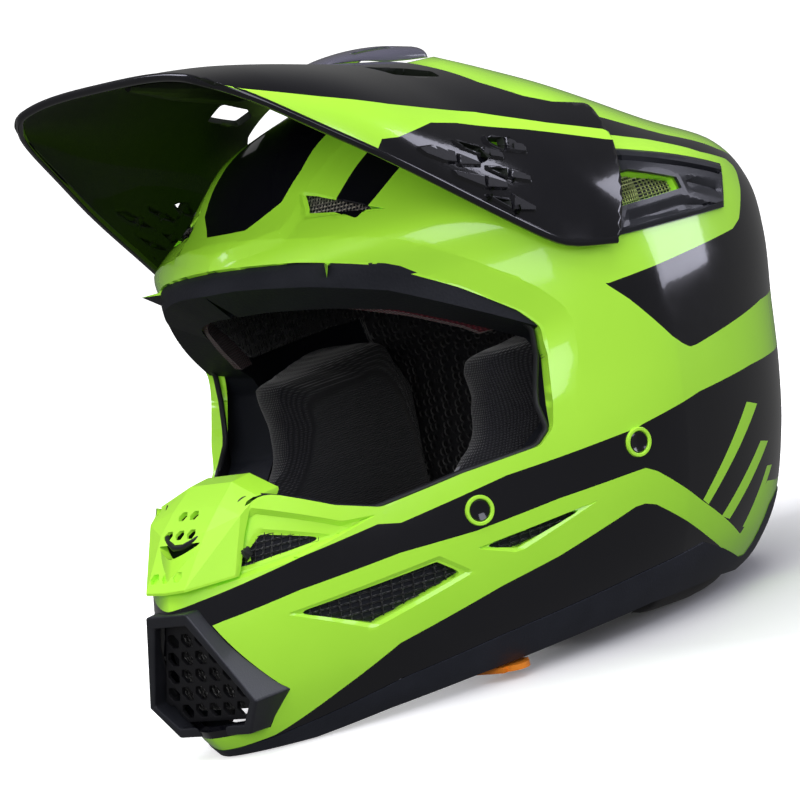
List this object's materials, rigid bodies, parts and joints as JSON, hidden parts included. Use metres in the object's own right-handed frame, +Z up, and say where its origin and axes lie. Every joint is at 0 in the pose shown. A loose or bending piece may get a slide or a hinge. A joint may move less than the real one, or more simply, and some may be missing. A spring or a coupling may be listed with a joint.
{
  "type": "off-road motorcycle helmet",
  "caption": "Full-face off-road helmet with a long tilting peak, wide eye port, hexagon mouth vent, pull-out cheek pads and a strap with loose D-rings.",
  "frame": {"origin": "on the table plane the helmet stands on, under the middle of its overall box, on the plane of symmetry", "axes": "+Z up; the helmet faces -Y, so +Y runs towards the nape; +X is the wearer's left"},
  "size_m": [0.252, 0.3645, 0.2855],
  "materials": {
    "shell_paint": "glossy fluorescent lacquer over a fibre composite, with gloss black fields",
    "foam": "dark coated energy foam, matte",
    "port_rubber": "satin rubber edging",
    "matte_trim": "fine matte grain",
    "neck_cover": "soft-touch coated cover, matte",
    "lining": "open knitted mesh",
    "red_lining": "brushed red lining",
    "guard": "glossy moulded plastic",
    "gloss_black": "high gloss",
    "grille_black": "satin",
    "filter": "open-cell foam",
    "brow_mesh": "fine woven mesh, satin",
    "vent_mesh": "fine woven mesh, satin",
    "chin_mesh": "fine woven mesh, satin",
    "ring_paint": "glossy",
    "webbing": "woven webbing",
    "snap_red": "satin",
    "steel": "polished wire",
    "peak_black": "gloss black with fluorescent fields",
    "scoop_grey": "glossy",
    "pad_cloth": "knitted mesh over soft foam",
    "tab_orange": "satin"
  },
  "bodies": {
    "helmet": {"outer_shell": "shell_paint", "energy_liner": "foam", "port_trim": "port_rubber", "lower_trim": "matte_trim", "neck_roll": "neck_cover", "crown_liner": "lining", "headband": "red_lining", "nose_guard": "guard", "mouth_frame": "gloss_black", "mouth_grille": "grille_black", "mouth_filter": "filter", "brow_mesh_left": "brow_mesh", "brow_mesh_right": "brow_mesh", "side_vent_frame_left": "matte_trim", "side_vent_frame_right": "matte_trim", "side_vent_mesh_left": "vent_mesh", "side_vent_mesh_right": "vent_mesh", "chin_mesh_left": "chin_mesh", "chin_mesh_right": "chin_mesh", "boss_rings": "ring_paint", "boss_caps": "gloss_black", "rear_vent": "matte_trim", "strap_left": "webbing", "strap_right": "webbing", "strap_snap": "snap_red", "pivot_studs": "steel"},
    "peak": {"peak": "peak_black", "peak_scoop": "scoop_grey", "peak_duct": "peak_black", "peak_strut": "peak_black"},
    "cheek_pad_left": {"cheek_pad_left": "pad_cloth", "release_tab_left": "tab_orange"},
    "cheek_pad_right": {"cheek_pad_right": "pad_cloth", "release_tab_right": "tab_orange"},
    "d_rings": {"d_rings": "steel"}
  },
  "joints": [
    {"name": "peak_tilt", "type": "hinge", "parent": "helmet", "child": "peak", "pos_m": [0, 0, 0.19], "axis": [1, 0, 0], "range_deg": [0, 5]},
    {"name": "cheek_pad_left_pull", "type": "slide", "parent": "helmet", "child": "cheek_pad_left", "axis": [-1, 0, 0], "range_m": [0, 0.015]},
    {"name": "cheek_pad_right_pull", "type": "slide", "parent": "helmet", "child": "cheek_pad_right", "axis": [1, 0, 0], "range_m": [0, 0.015]},
    {"name": "d_rings_lift", "type": "hinge", "parent": "helmet", "child": "d_rings", "pos_m": [0.036, 0.002, 0.0064], "axis": [0, 1, 0], "range_deg": [0, 75]}
  ]
}
